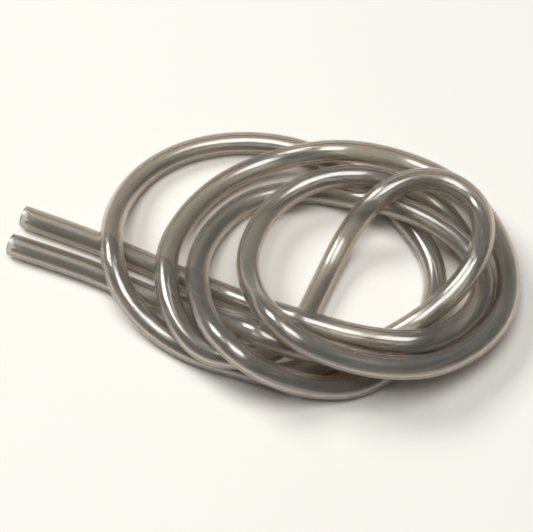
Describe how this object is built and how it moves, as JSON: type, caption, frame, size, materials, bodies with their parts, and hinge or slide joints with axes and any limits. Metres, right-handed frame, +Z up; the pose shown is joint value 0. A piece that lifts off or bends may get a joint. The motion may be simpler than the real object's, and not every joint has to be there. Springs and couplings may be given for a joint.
{
  "type": "silicone tubing coil",
  "caption": "Length of translucent silicone tubing, folded in half and wound double into a loose flat coil, with a round bore and two bare square-cut ends.",
  "frame": {"origin": "on the table, under the middle of the coil's bounding box, bottom centre", "axes": "+Z up from the table; +X along the coil's length, away from the two cut ends; +Y across it"},
  "size_m": [0.2004, 0.1252, 0.0356],
  "materials": {
    "silicone_tube": "translucent, smooth, slightly glossy"
  },
  "bodies": {
    "root": {"silicone_tube": "silicone_tube"}
  },
  "joints": []
}
